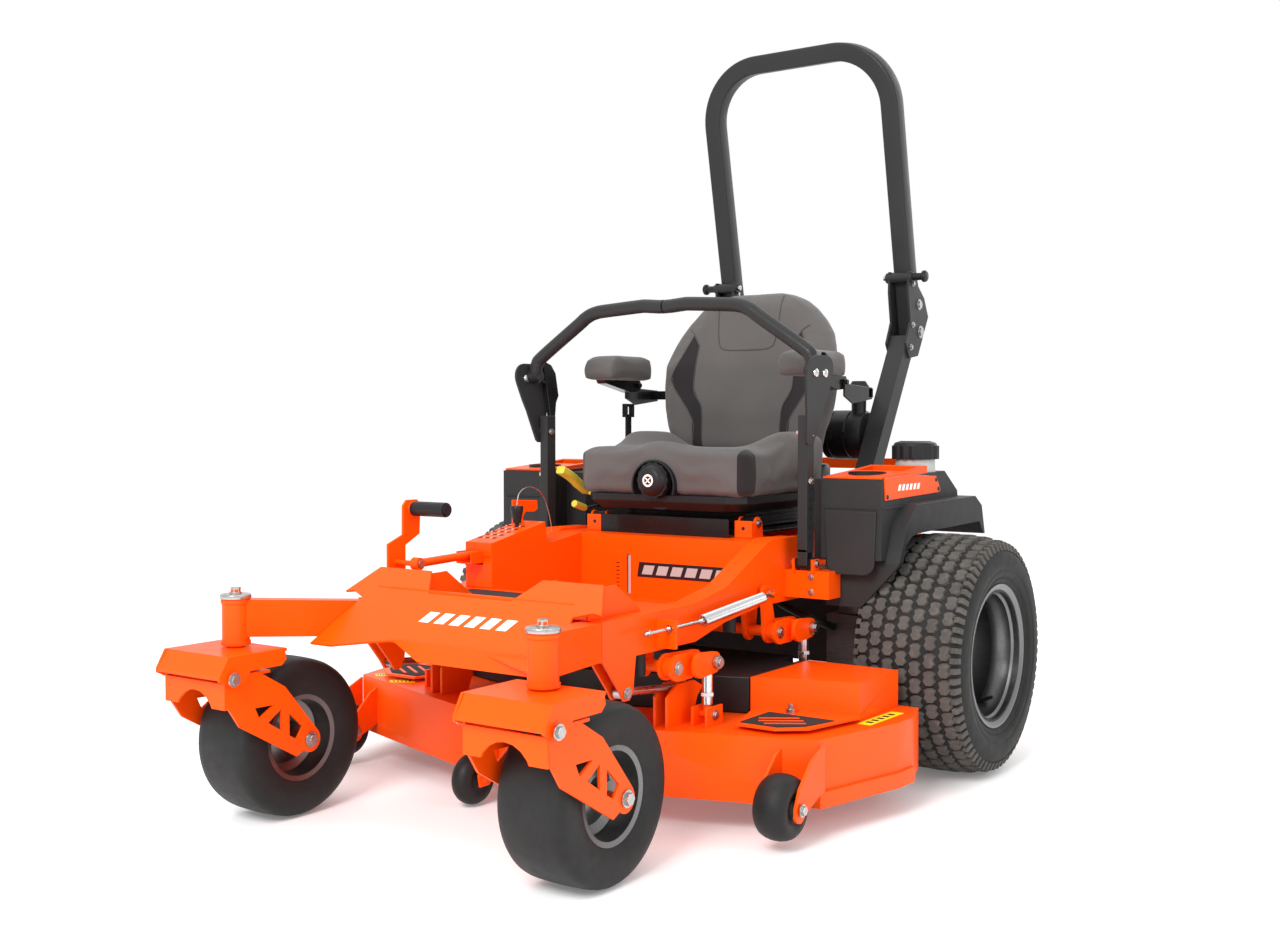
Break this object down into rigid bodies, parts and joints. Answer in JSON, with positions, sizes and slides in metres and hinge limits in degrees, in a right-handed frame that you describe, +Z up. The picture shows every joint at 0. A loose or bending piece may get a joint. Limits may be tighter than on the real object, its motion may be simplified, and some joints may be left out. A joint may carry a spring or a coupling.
{
  "type": "zero turn mower",
  "caption": "Ride-on zero turn mower: swivelling front casters, driven rear wheels, twin steering levers, tip-up seat, folding roll bar and a mowing deck hung on lift cranks.",
  "frame": {"origin": "on the ground under the middle of the machine's overall box", "axes": "+Z up, -Y forwards, +X to the operator's left"},
  "size_m": [1.49, 1.982, 1.871],
  "materials": {
    "orange": "gloss orange powder coat",
    "charcoal": "satin charcoal powder coat",
    "black_metal": "satin black",
    "black_plastic": "black moulding",
    "moulded": "grained black moulding",
    "rubber": "smooth black rubber",
    "turf_rubber": "dusty turf tread",
    "zinc": "bright zinc",
    "rim": "grey pressed steel",
    "cast": "cast and dull",
    "vinyl": "warm grey vinyl over foam",
    "yellow": "yellow grip"
  },
  "bodies": {
    "machine": {"main_frame": "orange", "front_guard": "orange", "floor_pan": "orange", "seat_box": "orange", "selector_box": "orange", "rear_guard": "orange", "engine": "cast", "air_cleaner": "black_plastic", "muffler": "cast", "transaxle_left": "cast", "transaxle_right": "cast", "roll_bar_base": "charcoal", "pod_left": "moulded", "pod_right": "moulded"},
    "saddle_left": {"caster_saddle_left": "orange"},
    "yoke_left": {"caster_yoke_left": "orange"},
    "caster_wheel_left": {"caster_tyre_left": "rubber", "caster_rim_left": "rim"},
    "drive_wheel_left": {"drive_tyre_left": "turf_rubber", "drive_rim_left": "rim"},
    "pivot_left": {"lever_pivot_left": "black_metal"},
    "lever_left": {"control_lever_left": "charcoal"},
    "arm_left": {"armrest_left": "vinyl"},
    "bar_pin_left": {"roll_bar_pin_left": "black_metal"},
    "link_left": {"drag_link_left": "zinc"},
    "scalp_wheel_left": {"anti_scalp_wheel_left": "rubber"},
    "saddle_right": {"caster_saddle_right": "orange"},
    "yoke_right": {"caster_yoke_right": "orange"},
    "caster_wheel_right": {"caster_tyre_right": "rubber", "caster_rim_right": "rim"},
    "drive_wheel_right": {"drive_tyre_right": "turf_rubber", "drive_rim_right": "rim"},
    "pivot_right": {"lever_pivot_right": "black_metal"},
    "lever_right": {"control_lever_right": "charcoal"},
    "arm_right": {"armrest_right": "vinyl"},
    "bar_pin_right": {"roll_bar_pin_right": "black_metal"},
    "link_right": {"drag_link_right": "zinc"},
    "scalp_wheel_right": {"anti_scalp_wheel_right": "rubber"},
    "platform": {"seat_platform": "black_metal"},
    "seat": {"seat_base": "black_plastic", "seat_cushion": "vinyl", "seat_back": "vinyl"},
    "knob": {"seat_knob": "black_plastic"},
    "slide_handle": {"slide_lever": "yellow"},
    "hoop": {"roll_bar_hoop": "charcoal"},
    "front_lift": {"lift_shaft_front": "orange"},
    "rear_lift": {"lift_shaft_rear": "orange"},
    "deck": {"deck_shell": "orange", "belt_cover_left": "orange", "belt_cover_right": "orange", "centre_cover": "black_plastic"},
    "spring": {"lift_spring": "zinc"},
    "pedal": {"foot_pedal": "orange"},
    "height_rod": {"push_rod": "orange"},
    "height_pin": {"selector_pin": "black_plastic", "lanyard": "zinc"},
    "tank_cap": {"fuel_cap": "black_plastic"},
    "blade_left": {"blade_left": "cast"},
    "blade_centre": {"blade_centre": "cast"},
    "blade_right": {"blade_right": "cast"}
  },
  "joints": [
    {"name": "caster_swivel_left", "type": "hinge", "parent": "machine", "child": "saddle_left", "pos_m": [0.404, -0.87, 0.366], "axis": [0, 0, 1], "continuous": true},
    {"name": "yoke_pivot_left", "type": "hinge", "parent": "saddle_left", "child": "yoke_left", "pos_m": [0.404, -0.962, 0.323], "axis": [1, 0, 0], "range_deg": [-6, 0]},
    {"name": "caster_roll_left", "type": "hinge", "parent": "yoke_left", "child": "caster_wheel_left", "pos_m": [0.404, -0.755, 0.166], "axis": [1, 0, 0], "continuous": true},
    {"name": "drive_roll_left", "type": "hinge", "parent": "machine", "child": "drive_wheel_left", "pos_m": [0.6115, 0.412, 0.28], "axis": [1, 0, 0], "continuous": true},
    {"name": "lever_fore_left", "type": "hinge", "parent": "machine", "child": "pivot_left", "pos_m": [0.3795, 0.122, 0.5], "axis": [1, 0, 0], "range_deg": [-10, 18]},
    {"name": "lever_out_left", "type": "hinge", "parent": "pivot_left", "child": "lever_left", "pos_m": [0.3795, 0.122, 0.5], "axis": [0, 1, 0], "range_deg": [0, 25]},
    {"name": "arm_flip_left", "type": "hinge", "parent": "seat", "child": "arm_left", "pos_m": [0.314, 0.415, 0.925], "axis": [-1, 0, 0], "range_deg": [0, 80]},
    {"name": "bar_pin_pull_left", "type": "slide", "parent": "machine", "child": "bar_pin_left", "axis": [1, 0, 0], "range_m": [0, 0.045], "stiffness_N_per_m": 150, "springref_m": -0.02},
    {"name": "drag_link_swing_left", "type": "hinge", "parent": "machine", "child": "link_left", "pos_m": [0.312, -0.517, 0.295], "axis": [1, 0, 0], "range_deg": [0, 10]},
    {"name": "scalp_wheel_roll_left", "type": "hinge", "parent": "deck", "child": "scalp_wheel_left", "pos_m": [0.6025, -0.39, 0.085], "axis": [1, 0, 0], "continuous": true},
    {"name": "caster_swivel_right", "type": "hinge", "parent": "machine", "child": "saddle_right", "pos_m": [-0.404, -0.87, 0.366], "axis": [0, 0, 1], "continuous": true},
    {"name": "yoke_pivot_right", "type": "hinge", "parent": "saddle_right", "child": "yoke_right", "pos_m": [-0.404, -0.962, 0.323], "axis": [1, 0, 0], "range_deg": [-6, 0]},
    {"name": "caster_roll_right", "type": "hinge", "parent": "yoke_right", "child": "caster_wheel_right", "pos_m": [-0.404, -0.755, 0.166], "axis": [1, 0, 0], "continuous": true},
    {"name": "drive_roll_right", "type": "hinge", "parent": "machine", "child": "drive_wheel_right", "pos_m": [-0.6115, 0.412, 0.28], "axis": [1, 0, 0], "continuous": true},
    {"name": "lever_fore_right", "type": "hinge", "parent": "machine", "child": "pivot_right", "pos_m": [-0.3795, 0.122, 0.5], "axis": [1, 0, 0], "range_deg": [-10, 18]},
    {"name": "lever_out_right", "type": "hinge", "parent": "pivot_right", "child": "lever_right", "pos_m": [-0.3795, 0.122, 0.5], "axis": [0, -1, 0], "range_deg": [0, 25]},
    {"name": "arm_flip_right", "type": "hinge", "parent": "seat", "child": "arm_right", "pos_m": [-0.314, 0.415, 0.925], "axis": [-1, 0, 0], "range_deg": [0, 80]},
    {"name": "bar_pin_pull_right", "type": "slide", "parent": "machine", "child": "bar_pin_right", "axis": [-1, 0, 0], "range_m": [0, 0.045], "stiffness_N_per_m": 150, "springref_m": -0.02},
    {"name": "drag_link_swing_right", "type": "hinge", "parent": "machine", "child": "link_right", "pos_m": [-0.312, -0.517, 0.295], "axis": [1, 0, 0], "range_deg": [0, 10]},
    {"name": "scalp_wheel_roll_right", "type": "hinge", "parent": "deck", "child": "scalp_wheel_right", "pos_m": [-0.6025, -0.39, 0.085], "axis": [1, 0, 0], "continuous": true},
    {"name": "seat_tilt", "type": "hinge", "parent": "machine", "child": "platform", "pos_m": [0, 0.14, 0.585], "axis": [1, 0, 0], "range_deg": [0, 18]},
    {"name": "seat_slide", "type": "slide", "parent": "platform", "child": "seat", "axis": [0, -1, 0], "range_m": [0, 0.09]},
    {"name": "weight_knob_turn", "type": "hinge", "parent": "seat", "child": "knob", "pos_m": [0, 0.055, 0.685], "axis": [0, 1, 0], "continuous": true},
    {"name": "slide_handle_lift", "type": "hinge", "parent": "seat", "child": "slide_handle", "pos_m": [-0.24, 0.165, 0.634], "axis": [-1, 0, 0], "range_deg": [0, 10]},
    {"name": "roll_bar_fold", "type": "hinge", "parent": "machine", "child": "hoop", "pos_m": [0, 0.915, 1.075], "axis": [-1, 0, 0], "range_deg": [0, 105]},
    {"name": "deck_lift", "type": "hinge", "parent": "machine", "child": "front_lift", "pos_m": [0, -0.402, 0.332], "axis": [1, 0, 0], "range_deg": [0, 24]},
    {"name": "rear_lift_turn", "type": "hinge", "parent": "machine", "child": "rear_lift", "pos_m": [0, 0.015, 0.353], "axis": [1, 0, 0], "range_deg": [0, 24]},
    {"name": "deck_hang", "type": "hinge", "parent": "front_lift", "child": "deck", "pos_m": [0, -0.296, 0.332], "axis": [1, 0, 0], "range_deg": [-24, 0]},
    {"name": "spring_swing", "type": "hinge", "parent": "rear_lift", "child": "spring", "pos_m": [0.36, -0.001, 0.441], "axis": [1, 0, 0], "range_deg": [-26, 0]},
    {"name": "pedal_push", "type": "hinge", "parent": "machine", "child": "pedal", "pos_m": [-0.3095, -0.502, 0.468], "axis": [1, 0, 0], "range_deg": [0, 16.1]},
    {"name": "height_rod_swing", "type": "hinge", "parent": "pedal", "child": "height_rod", "pos_m": [-0.2475, -0.502, 0.515], "axis": [1, 0, 0], "range_deg": [-16.1, 0]},
    {"name": "height_pin_pull", "type": "slide", "parent": "machine", "child": "height_pin", "axis": [0, 0, 1], "range_m": [0, 0.035]},
    {"name": "tank_cap_turn", "type": "hinge", "parent": "machine", "child": "tank_cap", "pos_m": [0.5, 0.46, 0.75], "axis": [0, 0, 1], "continuous": true},
    {"name": "blade_spin", "type": "hinge", "parent": "deck", "child": "blade_centre", "pos_m": [0, -0.19, 0.087], "axis": [0, 0, 1], "continuous": true},
    {"name": "blade_spin_left", "type": "hinge", "parent": "deck", "child": "blade_left", "pos_m": [0.435, -0.07, 0.087], "axis": [0, 0, 1], "continuous": true},
    {"name": "blade_spin_right", "type": "hinge", "parent": "deck", "child": "blade_right", "pos_m": [-0.435, -0.07, 0.087], "axis": [0, 0, 1], "continuous": true}
  ],
  "couplings": [
    {"joint": "rear_lift_turn", "follows": "deck_lift", "ratio": 1},
    {"joint": "deck_hang", "follows": "deck_lift", "ratio": -1},
    {"joint": "drag_link_swing_left", "follows": "deck_lift", "ratio": 0.4},
    {"joint": "drag_link_swing_right", "follows": "deck_lift", "ratio": 0.4},
    {"joint": "spring_swing", "follows": "deck_lift", "ratio": -1.06},
    {"joint": "pedal_push", "follows": "deck_lift", "ratio": 0.667},
    {"joint": "height_rod_swing", "follows": "deck_lift", "ratio": -0.667},
    {"joint": "blade_spin_left", "follows": "blade_spin", "ratio": 1},
    {"joint": "blade_spin_right", "follows": "blade_spin", "ratio": 1}
  ]
}
